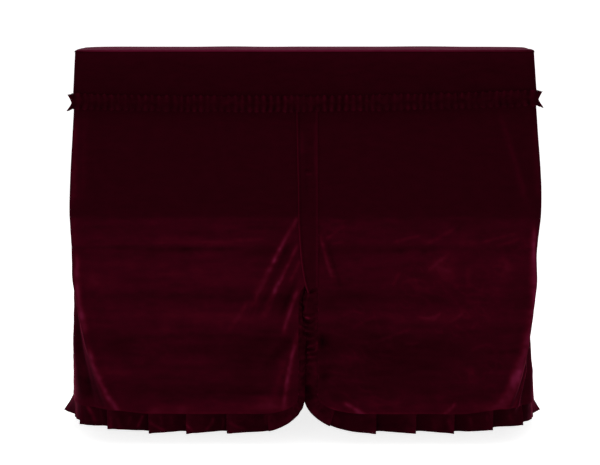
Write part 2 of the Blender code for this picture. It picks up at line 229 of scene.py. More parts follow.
# %% Seeded waves
LATTICE_SIZE = 64


def lattice(u, v, seed):
    """Smooth random values from -1 to 1 over the plane, the same on each run."""
    table = np.random.default_rng(seed).uniform(-1, 1, (LATTICE_SIZE, LATTICE_SIZE))
    i, j = np.floor(u).astype(int), np.floor(v).astype(int)
    s, t = eased(u - i), eased(v - j)
    i, j, next_i, next_j = (place % LATTICE_SIZE for place in (i, j, i + 1, j + 1))
    upper = table[i, j] * (1 - s) + table[next_i, j] * s
    lower = table[i, next_j] * (1 - s) + table[next_i, next_j] * s
    return upper * (1 - t) + lower * t


CREASE_HEIGHT, DENT_HEIGHT = 0.00055, 0.0006


def small_creases(side, run, z):
    """Level storage creases and small dents, strongest where the cloth hangs free."""
    hanging = 0.25 + 0.75 * eased((-z - LEDGE_DROP + 0.02) / 0.08)
    along = run * side
    level_creases = lattice(along / 0.21 + 9, z / 0.026 + 40, 3)
    level_creases = level_creases + 0.6 * lattice(along / 0.09, z / 0.013 + 40, 4)
    dents = lattice(along / 0.045 + 7, z / 0.06 + 40, 5) + 0.5 * lattice(along / 0.021 + 5, z / 0.03 + 40, 6)
    return hanging * (CREASE_HEIGHT * level_creases + DENT_HEIGHT * dents)


print("crease sample:", small_creases(RIGHT, np.array([0.3]), np.array([-0.8])))

# %% [markdown]
# ## The wall of cloth
#
# Every upright sheet lies on one surface, so one function gives its points. It takes the distance round
# the cover from the front centre and the height, and pushes the point out by the folds and by how far
# the sheet lies proud of the panels. Neighbours that share this function meet without gaps.

# %% Wall
SLOPE_SAG = 0.015
LEDGE_SOFTNESS = 0.006
FALL_WAVE, FALL_WAVE_LENGTH = 0.0025, 0.21
FREE_WAVE = 0.004
SIDE_SEAM = 0.03


def front_depth(z):
    """How far in front of the middle the front hangs: out over the slope, then straight down."""
    share = np.clip(-z / LEDGE_DROP, 0, 1)
    slope = TOP_DEPTH / 2 - (LEDGE_DEPTH - TOP_DEPTH / 2) * z / LEDGE_DROP
    slope = slope - SLOPE_SAG * np.sin(pi * share)
    hung = -LEDGE_SOFTNESS * np.logaddexp(-slope / LEDGE_SOFTNESS, -LEDGE_DEPTH / LEDGE_SOFTNESS)
    below = eased((-z - LEDGE_DROP) / 0.1)
    return hung + below * FALL_WAVE * np.sin(2 * pi * z / FALL_WAVE_LENGTH + 0.6)


def relief(side, run, z):
    """The folds of one side, the slow waves of free cloth, and the small creases."""
    height = sum(fold_height(fold, run, z) for fold in FOLDS if fold.side == side)
    hanging = eased((-z - LEDGE_DROP) / 0.25)
    waves = np.sin(2 * pi * (run / 0.47 + z / 1.9) + side) * np.sin(2 * pi * run / 0.83 + 0.5)
    return height + FREE_WAVE * hanging * waves + small_creases(side, run, z)


def wall(side, run, z, proud=0.0):
    """Points of the outer face, run metres round from the front centre and proud of the panels."""
    run, z = np.broadcast_arrays(np.asarray(run, float), np.asarray(z, float))
    radius = level(z, "corner")
    flat = half_width(side, z) - radius
    turn = np.clip((run - flat) / radius, 0, pi / 2)
    along_side = np.maximum(run - flat - radius * pi / 2, 0)
    out = proud + relief(side, run, z)
    x = np.minimum(run, flat) + (radius + out) * np.sin(turn)
    y = radius - (radius + out) * np.cos(turn) + along_side - front_depth(z)
    return np.stack([side * x, y, z], axis=-1)


def corner_run(side, z):
    """Where the front corner ends, measured round from the front centre."""
    return half_width(side, z) + (pi / 2 - 1) * level(z, "corner")


def seam_run(side, z):
    """Where the side seam lies, measured the same way."""
    return corner_run(side, z) + SIDE_SEAM


def back_run(side, z):
    """Where the side meets the back, measured the same way."""
    corner = level(z, "corner")
    return half_width(side, z) + (pi / 2 - 2) * corner + TOP_DEPTH / 2 + front_depth(z)


print("round the front corner to the side seam:", seam_run(LEFT, SEAM_Z))

# %% [markdown]
# ## The nap and the painted light
#
# Velvet's pile gives the cloth soft random tone. Each sheet's colour also carries painted light and
# shade: painted highlights on the fold crests, rims and wrinkles, painted shade in the hollows and beside
# the folds, soft patches of painted light and shade, and the hanging cloth painted lighter than the slope.
# Level bands run across the cloth too, some lighter and some darker. Shape alone doesn't give these, so
# each sheet carries a number at each of its points, nap_and_painted_light, from 0 for nearly black to 1
# for the brightest pink. Painting a texture by hand could do it too, but a number at each point moves with
# the cloth and is worked out again on each run. The marks are placed where the photograph shows them, by
# pixels read at the mark's ends and middle, and a small function turns a pixel into a place on the cloth.
# The tables hold only the marks that stand out.

# %% A pixel's place on the cloth
HEIGHT_ROUNDS = 12


def at_pixel(x, y):
    """The side, run and height of the front at a pixel of the photograph."""
    below = CAMERA_TILT + np.arctan((y - FRAME_HEIGHT / 2) / FOCAL_PIXELS)
    z = -0.6
    for _ in range(HEIGHT_ROUNDS):
        reach = -front_depth(z) - CAMERA_PLACE[1]
        z = CAMERA_PLACE[2] - reach * np.tan(below)
    depth = reach * np.cos(CAMERA_TILT) + (CAMERA_PLACE[2] - z) * np.sin(CAMERA_TILT)
    across = CAMERA_PLACE[0] + (x - FRAME_WIDTH / 2) * depth / FOCAL_PIXELS
    side = LEFT if across < 0 else RIGHT
    radius = level(z, "corner")
    flat = half_width(side, z) - radius
    turn = np.arcsin(np.clip((abs(across) - flat) / radius, 0, 1))
    run = flat + radius * turn if abs(across) > flat else abs(across)
    return side, float(run), float(z)


print("the break over the key bed, seen at x 190, y 218:", at_pixel(190, 218))

# %% Creases and streaks
Crease = namedtuple("Crease", "z high gain")
CREASES = (
    Crease(-0.603, 0.016, 0.050),
    Crease(-0.632, 0.012, -0.030),
    Crease(-0.715, 0.045, 0.045),
    Crease(-0.787, 0.014, -0.035),
    Crease(-0.850, 0.025, 0.055),
    Crease(-0.930, 0.018, -0.040),
    Crease(-0.968, 0.020, -0.040),
    Crease(-1.095, 0.030, -0.045),
    Crease(-1.158, 0.018, 0.055),
)

Streak = namedtuple("Streak", "x_a y_a x_b y_b x_c y_c width_mm gain")
# Each streak is a line of painted light: a painted highlight where its gain is positive, on fold crests,
# rims, wrinkles and hem lines, and painted shade where it is negative, beside the folds and over the real
# folds' own highlights.
STREAKS = [Streak(*row) for row in (
    # folds that fan out to the left from the opening
    (300, 214, 286, 238, 266, 276, 7, 0.26), (286, 236, 268, 274, 246, 316, 14, 0.16),
    (250, 298, 238, 317, 225, 336, 8, 0.1), (300, 240, 286, 268, 266, 308, 6.5, 0.22),
    (284, 272, 274, 294, 260, 324, 11, 0.12), (300, 258, 296, 270, 288, 284, 5, 0.12),
    (300, 286, 290, 310, 282, 340, 8, 0.26), (301, 326, 290, 366, 283, 418, 9, 0.26),
    (294, 348, 281, 372, 274, 404, 12, 0.09), (290, 240, 278, 264, 264, 292, 7, -0.08),
    (299, 274, 290, 294, 278, 322, 8, -0.07), (290, 336, 280, 350, 262, 372, 16, -0.08),
    # the left corner
    (77, 250, 80, 292, 91, 348, 8, 0.26), (90, 340, 100, 378, 124, 420, 8.5, 0.3),
    (95, 386, 100, 398, 105, 410, 6, -0.06), (92, 326, 106, 372, 126, 414, 24, 0.03),
    (80, 318, 86, 350, 96, 386, 6, -0.09), (76, 322, 82, 360, 92, 404, 20, -0.07),
    (73, 310, 74, 352, 76, 400, 20, -0.08),
    # the right fold beside the band
    (320, 230, 326, 257, 335, 286, 6, 0.17), (327, 240, 335, 268, 342, 290, 7, -0.06),
    (321, 330, 322, 340, 322, 350, 6, -0.08),
    # the right corner
    (534, 218, 533, 272, 530, 320, 11, 0.34), (532, 300, 524, 348, 504, 404, 13, 0.34),
    (521, 360, 508, 394, 486, 418, 20, 0.16), (529, 366, 521, 391, 511, 413, 5.5, 0.18),
    (525, 372, 517, 392, 509, 408, 5, -0.14), (532, 340, 529, 376, 522, 408, 9, -0.1),
    # wrinkles over the right half
    (392, 243, 406, 239, 424, 235, 5, 0.1), (422, 246, 440, 237, 459, 225, 6, 0.1),
    (478, 244, 498, 238, 522, 232, 5, 0.09), (494, 246, 508, 243, 522, 238, 5, 0.08),
    (325, 240, 333, 234, 343, 227, 5, 0.1), (330, 244, 337, 243, 345, 241, 5, 0.08),
    (428, 272, 438, 262, 450, 254, 6, 0.1), (392, 287, 396, 279, 401, 270, 5, 0.1),
    (398, 286, 412, 280, 430, 283, 5, 0.08), (414, 315, 430, 318, 442, 311, 5, 0.09),
    (431, 322, 437, 317, 441, 311, 4, 0.09), (448, 324, 456, 318, 464, 312, 5, 0.09),
    (376, 341, 394, 335, 414, 328, 5, 0.09), (404, 342, 412, 344, 420, 341, 5, 0.08),
    (340, 318, 352, 312, 366, 314, 5, 0.07), (352, 330, 362, 322, 374, 318, 5, 0.07),
    (470, 352, 480, 346, 494, 344, 5, 0.07),
    # above the hem
    (342, 401, 354, 409, 369, 417, 8, 0.22), (327, 408, 334, 410, 344, 414, 5, 0.12),
    (442, 416, 449, 410, 457, 401, 6, 0.18), (112, 414, 190, 413, 272, 414, 7, 0.08),
    (330, 414, 400, 414, 500, 413, 6, 0.06),
    # long level lines on the left half
    (78, 245, 165, 243, 266, 240, 5, 0.05), (84, 247, 170, 249, 262, 248, 8, -0.06),
    (232, 239, 250, 240, 266, 238, 5, 0.08),
    # soft folds down the slope
    (498, 108, 512, 152, 532, 222, 10, 0.06), (84, 108, 84, 160, 80, 214, 10, 0.04),
    (75, 110, 74, 160, 72, 214, 14, 0.15), (72, 212, 74, 238, 76, 262, 12, 0.07),
    (535, 112, 537, 160, 539, 206, 10, 0.07), (366, 417, 392, 418, 420, 417, 3.5, 0.1),
)]

print("creases and streaks:", len(CREASES), len(STREAKS))

# %% Patches
Patch = namedtuple("Patch", "x y wide_mm high_mm gain")
# Soft patches of painted light where the gain is positive and painted shade where it is negative.
PATCHES = [Patch(*row) for row in (
    (444, 268, 30, 50, 0.08), (505, 265, 22, 35, 0.12),
    (468, 274, 10, 50, 0.07), (401, 252, 11, 10, -0.07),
    (424, 252, 11, 10, -0.07), (350, 297, 50, 22, -0.045),
    (352, 353, 50, 20, 0.06), (473, 377, 18, 25, 0.07),
    (322, 344, 20, 30, -0.07), (324, 378, 18, 28, -0.07),
    (410, 366, 150, 60, -0.06), (373, 406, 20, 14, 0.07),
    (396, 404, 18, 14, 0.06), (421, 406, 18, 16, 0.08),
    (478, 405, 40, 18, 0.08), (502, 400, 30, 24, 0.06),
    (95, 280, 30, 25, 0.09), (190, 316, 120, 20, 0.03),
    (288, 304, 25, 60, -0.05), (245, 368, 55, 80, -0.05),
    (118, 348, 60, 35, -0.06), (115, 372, 50, 28, 0.05),
    (266, 402, 45, 22, 0.18), (154, 410, 20, 12, 0.07),
    (182, 408, 16, 14, 0.07), (84, 385, 30, 60, -0.06),
    (362, 345, 110, 150, -0.045), (327, 342, 30, 35, -0.05),
    (328, 306, 32, 25, -0.045), (325, 372, 22, 22, -0.07),
    (280, 250, 60, 70, -0.06), (275, 302, 50, 80, -0.06),
    (506, 388, 25, 25, -0.06), (165, 328, 70, 25, 0.045),
    (196, 255, 60, 25, 0.06), (110, 288, 80, 35, 0.04),
    (462, 238, 60, 35, 0.045), (493, 290, 40, 60, 0.05),
)]
print("patches:", len(PATCHES))

# %% Streaks of painted light and shade


def painted_streaks(streaks, side, run, z):
    """The painted highlights and painted shade of the streaks on one side, a little broken along their
    length.
    """
    broken = 0.85 + 0.35 * lattice(run * side / 0.014 + 8, z / 0.014 + 60, 87)
    nap_and_painted_light = np.zeros(run.shape)
    for streak in streaks:
        places = [at_pixel(streak.x_a, streak.y_a), at_pixel(streak.x_b, streak.y_b),
                  at_pixel(streak.x_c, streak.y_c)]
        middle_side = places[1][0]
        if middle_side == side:
            line = soft_line([place[1:] for place in places], streak.width_mm / 1000, run, z)
            nap_and_painted_light = nap_and_painted_light + streak.gain * broken * line
    return nap_and_painted_light


print("nap of a fold:", painted_streaks(STREAKS, LEFT, np.array([0.05]), np.array([-0.6])).round(3))

# %% Nap and painted light of the panels
# Tones of the slope and of the hanging cloth: the hanging cloth is painted lighter than the slope, painted
# light, and its right half a little less, painted shade. WRINKLE_GAIN sets painted highlights in small
# wrinkles.
SLOPE_TONE, HANGING_LIT_TONE = 0.283, 0.325
RIGHT_SHADE = 0.012
WRINKLE_GAIN = {LEFT: 0.020, RIGHT: 0.055}


def panel_nap_and_painted_light(side, run, z):
    """The nap and painted light at places of the panels: random tone, painted light and shade, and the
    streaks.
    """
    along = run * side
    hanging = eased((-z - LEDGE_DROP + 0.008) / 0.016)
    wear_and_highlight = lattice(along / 0.13 + 5, z / 0.017 + 50, 81)
    wear_and_highlight = wear_and_highlight + 0.6 * lattice(along / 0.045 + 3, z / 0.011 + 50, 82)
    mottled = lattice(along / 0.035 + 9, z / 0.040 + 50, 83)
    mottled = mottled + 0.7 * lattice(along / 0.016 + 2, z / 0.014 + 50, 84)
    # painted light: the hanging cloth lighter than the slope, the right half a little darker
    nap_and_painted_light = SLOPE_TONE + (HANGING_LIT_TONE - SLOPE_TONE - RIGHT_SHADE * (side == RIGHT)) * hanging
    nap_and_painted_light = nap_and_painted_light + (0.003 + 0.022 * hanging) * wear_and_highlight + (0.002 + 0.014 * hanging) * mottled
    # painted highlights in small wrinkles
    wrinkled = 1 - abs(lattice(along / 0.026 + z / 0.07 + 7, z / 0.021 + along / 0.12 + 30, 88)) * 3
    wrinkled = np.clip(wrinkled, 0, 1) * np.clip(lattice(along / 0.09 + 3, z / 0.07 + 30, 89) + 0.3, 0, 1)
    nap_and_painted_light = nap_and_painted_light + WRINKLE_GAIN[side] * hanging * wrinkled
    shifted = z + 0.006 * lattice(along / 0.19 + 4, z / 0.2 + 20, 85)
    for crease in CREASES:
        strength = 0.85 + 0.4 * lattice(along / 0.11 + 8, z / 0.3 + 20, 86)
        nap_and_painted_light = nap_and_painted_light + crease.gain * strength * bell((shifted - crease.z) / crease.high)
    # soft patches of painted light and painted shade
    for patch in PATCHES:
        patch_side, patch_run, patch_z = at_pixel(patch.x, patch.y)
        if patch_side == side:
            wide, high = patch.wide_mm / 1000, patch.high_mm / 1000
            away = ((run - patch_run) / wide) ** 2 + ((z - patch_z) / high) ** 2
            nap_and_painted_light = nap_and_painted_light + patch.gain * (0.9 + mottled * 0.3) * np.exp(-away)
    # the streaks: painted highlights on folds, rims and wrinkles, and painted shade beside them
    return nap_and_painted_light + painted_streaks(STREAKS, side, run, z)


print("nap of the slope and below:", panel_nap_and_painted_light(LEFT, np.array([0.4, 0.4]), np.array([-0.3, -0.7])).round(3))

# %% [markdown]
# ## Shader maths as Python
#
# A material is a graph of nodes. Building it link by link hides what it computes, so one small class
# wraps a socket and lets sums and products be written as sums and products. Each adds its Math node.

# %% Flow


class Flow:
    """An output socket in a material. Adding, subtracting or multiplying makes a Math node."""

    def __init__(self, tree, socket=None):
        self.tree, self.socket = tree, socket

    def node(self, kind, settings=None, inputs=None, out=0):
        """Any node: its settings first, then the values or links of its sockets."""
        node = self.tree.nodes.new(kind)
        for key, value in (settings or {}).items():
            if key == "stops":
                for i, (place, colour) in enumerate(value):
                    stop = node.color_ramp.elements[i] if i < 2 else node.color_ramp.elements.new(place)
                    stop.position, stop.color = place, colour
            else:
                setattr(node, key, value)
        for key, value in (inputs or {}).items():
            if isinstance(value, Flow):
                self.tree.links.new(value.socket, node.inputs[key])
            else:
                node.inputs[key].default_value = value
        return Flow(self.tree, node.outputs[out])

    def maths(self, operation, a, b):
        return self.node("ShaderNodeMath", {"operation": operation}, {0: a, 1: b})

    def __add__(self, other):
        return self.maths("ADD", self, other)

    def __radd__(self, other):
        return self.maths("ADD", other, self)

    def __sub__(self, other):
        return self.maths("SUBTRACT", self, other)

    def __rsub__(self, other):
        return self.maths("SUBTRACT", other, self)

    def __mul__(self, other):
        return self.maths("MULTIPLY", self, other)

    def __rmul__(self, other):
        return self.maths("MULTIPLY", other, self)


def noise(place, scale, detail=2.0, stretch=(1, 1, 1)):
    """A noise value around 0.5, finer with a larger scale, stretched by the scales of each axis."""
    spread = place.node("ShaderNodeVectorMath", {"operation": "MULTIPLY"}, {0: place, 1: stretch})
    return place.node("ShaderNodeTexNoise", {}, {"Vector": spread, "Scale": scale, "Detail": detail})


print("socket maths ready")

# %% [markdown]
# ## Velvet
#
# Velvet is a dark dyed pile standing on a woven ground. Looked at straight, the light falls into the
# pile and the cloth is nearly black burgundy; at a glancing angle the tips catch it and a pink sheen
# shows. Real hairs could be grown on the cloth, but they would be millions. So there is almost no gloss,
# the shader's sheen brightens glancing faces, and the colour does the rest: a ramp turns each point's
# nap_and_painted_light value into the base colour, from very dark painted shade up to bright pink
# painted sheen, so the highlights on the folds and the shade beside them are painted. Noise at two
# sizes adds the grain of the pile and the way it lies.

# %% Velvet material
# screen colours from the deepest painted shade to the brightest painted sheen, each placed by its red over
# BRIGHTEST
BRIGHTEST = 120
VELVET_TONES = ((0, 0, 0), (14, 0, 2), (24, 0, 4), (35, 1, 8), (43, 1, 11), (50, 2, 13), (60, 5, 20),
                (72, 10, 30), (95, 20, 48), (120, 36, 66))
LIGHT_GAIN = 1.25
SHEEN_TINT = (1.0, 0.05, 0.20, 1)
PILE_SCALE, PILE_TONE = 900, 0.08
LIE_SCALE, LIE_TONE, LIE_ROUGHNESS = 26, 0.09, 0.25


def linear(value):
    """A screen value from 0 to 255 as an amount of light."""
    value = value / 255
    return value / 12.92 if value < 0.04045 else ((value + 0.055) / 1.055) ** 2.4


def set_sockets(shader, values):
    """Values that are the same all over the surface, on the shader's own sockets."""
    for name, value in values.items():
        shader.inputs[name].default_value = value


def velvet(name, sheen=0.15, tint=SHEEN_TINT):
    """The cover's cloth. Its tone comes from each point's nap_and_painted_light value, which holds painted
    highlights and shade, and from the pile's grain.
    """
    material = bpy.data.materials.new(name)
    material.use_nodes = True
    tree = material.node_tree
    shader = tree.nodes["Principled BSDF"]
    place = Flow(tree).node("ShaderNodeTexCoord", out="Object")
    nap_and_painted_light = place.node("ShaderNodeAttribute", {"attribute_name": "nap_and_painted_light"}, out="Fac")
    pile = noise(place, PILE_SCALE, 2)
    lying = noise(place, LIE_SCALE, 5, (1, 1, 2.6))
    tone = nap_and_painted_light + (pile - 0.5) * PILE_TONE + (lying - 0.5) * LIE_TONE
    stops = [(colour[0] / BRIGHTEST, (*[linear(channel) / LIGHT_GAIN for channel in colour], 1))
             for colour in VELVET_TONES]
    dyed = place.node("ShaderNodeValToRGB", {"stops": stops}, {"Fac": tone}, "Color")
    tree.links.new(dyed.socket, shader.inputs["Base Color"])
    rough = 0.82 + (lying - 0.5) * LIE_ROUGHNESS
    tree.links.new(rough.socket, shader.inputs["Roughness"])
    bumps = place.node("ShaderNodeBump", {}, {"Strength": 0.35, "Distance": 0.0006, "Height": pile})
    lay = place.node("ShaderNodeBump", {}, {"Strength": 0.25, "Distance": 0.002, "Height": lying,
                                           "Normal": bumps})
    tree.links.new(lay.socket, shader.inputs["Normal"])
    set_sockets(shader, {"Specular IOR Level": 0.005, "Sheen Weight": sheen, "Sheen Roughness": 0.32,
                         "Sheen Tint": tint})
    return material


panel_velvet = velvet("panel_velvet")
top_velvet = velvet("top_velvet", sheen=0.22, tint=(1.0, 0.22, 0.40, 1))
frill_velvet = velvet("frill_velvet")
print("materials:", [m.name for m in (panel_velvet, top_velvet, frill_velvet)])

# %% [markdown]
# ## Closed sheets
#
# Each piece of cloth is a thin closed sheet: a grid of points for its outer face, the same grid moved
# in along its normals for its inner face, and a strip round the rim. A Solidify modifier could thicken
# it too, but here the nap_and_painted_light value has to be written for both faces. The sheet then
# replaces the plain solid and rides on the cover's one body.

# %% Sheet maker
CLOTH = 0.0020
SHARP = radians(60)


def inner_face(grid, thickness):
    """The grid moved in along its normals."""
    normal = np.cross(np.gradient(grid, axis=0), np.gradient(grid, axis=1))
    return grid - thickness * normal / (np.linalg.norm(normal, axis=-1, keepdims=True) + 1e-12)


def sheet_mesh(name, grid, inner, nap_and_painted_light):
    """The grid is the outer face: rows run down, columns to the right as seen from outside."""
    rows, columns = grid.shape[:2]
    points = np.concatenate([grid.reshape(-1, 3), inner.reshape(-1, 3)])
    number = np.arange(rows * columns).reshape(rows, columns)
    corners = [number[:-1, :-1], number[1:, :-1], number[1:, 1:], number[:-1, 1:]]
    outside = np.stack([corner.ravel() for corner in corners], axis=1)
    inside = outside[:, ::-1] + rows * columns
    rim = np.concatenate([number[0, :-1], number[:-1, -1], number[-1, :0:-1], number[:0:-1, 0]])
    after = np.roll(rim, -1)
    edge = np.stack([rim, after, after + rows * columns, rim + rows * columns], axis=1)
    faces = np.concatenate([outside, inside, edge])
    mesh = bpy.data.meshes.new(name)
    mesh.vertices.add(len(points))
    mesh.vertices.foreach_set("co", points.ravel())
    mesh.loops.add(faces.size)
    mesh.loops.foreach_set("vertex_index", faces.ravel())
    mesh.polygons.add(len(faces))
    mesh.polygons.foreach_set("loop_start", np.arange(0, faces.size, 4))
    mesh.update(calc_edges=True)
    mesh.validate()
    mesh.shade_smooth()
    mesh.set_sharp_from_angle(angle=SHARP)
    nap_and_painted_light = np.broadcast_to(nap_and_painted_light, (rows, columns)).ravel()
    mesh.attributes.new("nap_and_painted_light", "FLOAT", "POINT").data.foreach_set("value", np.concatenate([nap_and_painted_light, nap_and_painted_light]))
    return mesh


def cloth(name, node, grid, nap_and_painted_light, material, flat, thickness=CLOTH, inner=None):
    """A finished piece of cloth in place of its solid."""
    mesh = sheet_mesh(name, grid, inner_face(grid, thickness) if inner is None else inner, nap_and_painted_light)
    mesh.materials.append(material)
    piece = add_object(name, mesh)
    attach(piece, "root")
    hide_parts(node)
    print(name, "faces:", len(mesh.polygons))
    return piece


def outward(side, grid):
    """Columns run away from the front centre, so the left side's are turned round."""
    return grid if side == RIGHT else grid[:, ::-1]


def side_name(side):
    return "left" if side == LEFT else "right"


print("thickness of the panels:", CLOTH)

# %% [markdown]
# ## The top panel
#
# A rectangle lies over the lid and is seamed along its edge, where it turns down. Its corners droop a
# little, and it lies in very shallow waves because nothing pulls it flat. A grid in x and y does for all
# of it, with two more lines of points round the rim that go down over the turned edge.

# %% Top panel
LAYER = 0.0045
LIP = 0.006
# each turn lists how far its lines of points lie in from the rim, and their heights
OUTER_TURN = ((0.0022, 0.0007, 0.0), (CLOTH, 0.0004, -LIP))
INNER_TURN = ((0.0030, 0.0025, CLOTH), (0.0, -0.0010, -LIP))
CORNER_DROOP, TOP_SWELL = 0.0025, 0.0012


def top_face(inset, height):
    """One face of the panel, flat with a turned edge. inset and height run out to the edge."""
    half_x, half_y = LEVELS[0].left + LAYER, TOP_DEPTH / 2 + LAYER

    def lines(half, count):
        """Grid lines across the panel, with the turned edge at both ends, and their heights."""
        flat = np.linspace(inset[0] - half, half - inset[0], count)
        edge = half - inset[1:]
        return (np.concatenate([-edge[::-1], flat, edge]),
                np.concatenate([height[:0:-1], np.full(count, height[0]), height[1:]]))

    (x, x_height), (y, y_height) = lines(half_x, 160), lines(half_y, 44)
    x, y = np.meshgrid(x, y[::-1])
    droop = CORNER_DROOP * np.exp(-((half_x - abs(x)) / 0.03 + (half_y - abs(y)) / 0.05))
    swell = TOP_SWELL * np.sin(x * 9 + 1) ** 2 * np.sin(y * 14 + x * 5) ** 2
    swell = swell + 0.0005 * (lattice(x / 0.12 + 20, y / 0.05 + 20, 11) + 1)
    z = np.minimum(x_height[None, :], y_height[::-1, None])
    z = np.where(z > -LIP, z - droop, z) + np.where(z == height[0], swell, 0)
    return np.stack([x, y, z], axis=-1)


def top_panel():
    outer, inner = (top_face(*np.array(turn)) for turn in (OUTER_TURN, INNER_TURN))
    x, y, z = np.moveaxis(outer, -1, 0)
    nap_and_painted_light = SLOPE_TONE + 0.03 * lattice(x / 0.12 + 30, y / 0.06 + 30, 12)
    # painted sheen highlight along the top's front edge, fading towards its ends and most to the right
    front_edge_sheen = bell((z - 0.0004) / 0.0012) * (y < 0.004 - TOP_DEPTH / 2)
    nap_and_painted_light = nap_and_painted_light + 0.50 * front_edge_sheen * (1 - 0.45 * ((x + 0.15) / 0.9) ** 2)
    cloth("top_cloth", "top_panel", outer, nap_and_painted_light, top_velvet, (1.53, 0.39), inner=inner)


top_panel()

# %% [markdown]
# ## The two front curtains
#
# Each curtain hangs from the top seam, leans out over the slope to the key bed's edge and falls
# straight. It wraps round the front corner, and its lower inner corner is cut round. It could be draped
# by simulation, but laid on the wall it keeps the photograph's folds and the solid's outline.

# %% Front curtains
PANEL_TOP_Z = -0.004
BAND_END_Z = -0.757
CORNER_RISE = 0.017
HEM_TURN = 0.0012

# folds are the places of the hem's pleats; edge, wide and high give the curtain's rounded lower corner
Curtain = namedtuple("Curtain", "edge wide high folds flare")
CURTAINS = {
    LEFT: Curtain(0.020, 0.130, 0.055, (0.123, 0.255, 0.388, 0.511, 0.647, 0.772), 0.036),
    RIGHT: Curtain(0.044, 0.150, 0.055, (0.100, 0.234, 0.365, 0.490, 0.617, 0.745), 0.032),
}


def curtain_edge(side, z):
    """The curtain's edge at the centre: under the band above, drawn aside in the opening below."""
    if side == LEFT:
        tucked = 0.006 - 0.012 * eased((-z - 0.54) / 0.06)
        parted = eased((-z + BAND_END_Z + 0.02) / 0.05)
    else:
        tucked, parted = 0.010, eased((-z + BAND_END_Z + 0.06) / 0.08)
    return tucked + (CURTAINS[side].edge - tucked) * parted


def curtain_hem(side, run):
    """Height of the panels' lower edge, which curves up at the centre and rises at the corner."""
    curtain = CURTAINS[side]
    inset = np.clip(1 - (run - curtain.edge) / curtain.wide, 0, 1)
    lifted = CORNER_RISE * (eased((run - 0.50) / 0.17) - eased((run - 1.0) / 0.32))
    return SEAM_Z + curtain.high * (1 - np.sqrt(1 - inset ** 2)) + lifted


def front_panel(side):
    rows = np.concatenate([np.linspace(0, 0.44, 50), np.linspace(0.44, 1, 150)[1:]])
    share, down = np.meshgrid(np.linspace(0, 1, 220), rows)
    edge = CURTAINS[side].edge
    bottom = curtain_hem(side, edge + share * (seam_run(side, SEAM_Z) - edge))
    z = PANEL_TOP_Z + down * (bottom - PANEL_TOP_Z)
    near, far = curtain_edge(side, z), seam_run(side, z)
    turned_hem = HEM_TURN * bell((z - bottom) / 0.005 - 1)
    run = near + share * (far - near)
    cloth(f"front_curtain_{side_name(side)}", f"front_panel_{side_name(side)}",
          outward(side, wall(side, run, z, turned_hem)), outward(side, panel_nap_and_painted_light(side, run, z)),
          panel_velvet, (0.83, 1.23))


for side in (LEFT, RIGHT):
    front_panel(side)

# %% [markdown]
# ## Sides and back
#
# The sides carry on from the curtains behind the corner seam. A seam allowance, a strip of cloth beyond
# the stitching, lies behind the curtain's edge, so that no light comes through the seam. The back is a
# plain panel with its own plain hem, because it stands against a wall. In the photograph the back is
# hidden and the sides show only at the outline, so both are laid like the rest and finished plainly.

# %% Side and back panels
EDGE_GAP = 0.0010
BACK_HEM_Z = -1.232
ALLOWANCE_SHARES, ALLOWANCE_DEPTH = (-0.02, -0.001), 0.0032


def side_panel(side):
    """One side, with a seam allowance that lies behind the front curtain's edge."""
    columns = np.concatenate([ALLOWANCE_SHARES, np.linspace(0, 1, 90)])
    share, down = np.meshgrid(columns, np.linspace(0, 1, 200))
    front, back = seam_run(side, SEAM_Z), back_run(side, SEAM_Z)
    z = PANEL_TOP_Z + down * (curtain_hem(side, front + share * (back - front)) - PANEL_TOP_Z)
    near, far = seam_run(side, z) + EDGE_GAP, back_run(side, z) - CLOTH - EDGE_GAP
    run = near + share * (far - near)
    allowance = -ALLOWANCE_DEPTH * (share < 0)
    cloth(f"side_{side_name(side)}", f"side_panel_{side_name(side)}",
          outward(side, wall(side, run, z, allowance)), outward(side, panel_nap_and_painted_light(side, run, z)),
          panel_velvet, (0.50, 1.18))


def back_panel():
    share, down = np.meshgrid(np.linspace(1, -1, 130), np.linspace(0, 1, 110))
    z = PANEL_TOP_Z + down * (BACK_HEM_Z - PANEL_TOP_Z)
    half = np.where(share > 0, half_width(RIGHT, z), half_width(LEFT, z))
    x = share * half
    middle = 1 - share ** 2
    waves = np.cos(2 * pi * x / 0.38) * middle * eased(down / 0.4)
    hem = HEM_TURN * np.exp(-((1 - down) * 1.23 / 0.02 - 1) ** 2 * 6)
    y = TOP_DEPTH / 2 + 0.006 * waves * down + hem + small_creases(RIGHT, x, z) * eased(middle * 6)
    nap_and_painted_light = panel_nap_and_painted_light(RIGHT, 2 + x, z)
    cloth("back", "back_panel", np.stack([x, y, z], axis=-1), nap_and_painted_light, panel_velvet, (1.52, 1.25))


for side in (LEFT, RIGHT):
    side_panel(side)
back_panel()

# %% [markdown]
# ## The valance
#
# A short skirt hangs from the top seam over the curtains, on the front and both sides. Its lower seam,
# under the ruche, sags a little in the middle. It lies on the same wall as the curtains, one layer of
# cloth further out, which is simpler than a surface of its own and follows them exactly.

# %% Valance
VALANCE_Z = -0.176
VALANCE_DROP = 0.010
VALANCE_TOP_Z = -LIP - EDGE_GAP


def valance_z(x_share):
    return VALANCE_Z + 0.014 * x_share ** 2 + 0.006 * x_share


def valance_nap(grid):
    """Even and dark, a little lighter just under the top seam."""
    x, y, z = np.moveaxis(grid, -1, 0)
    return 0.265 + 0.03 * eased(1 + z / 0.06) + 0.008 * lattice((x + y) / 0.08 + 40, z / 0.03 + 20, 90)


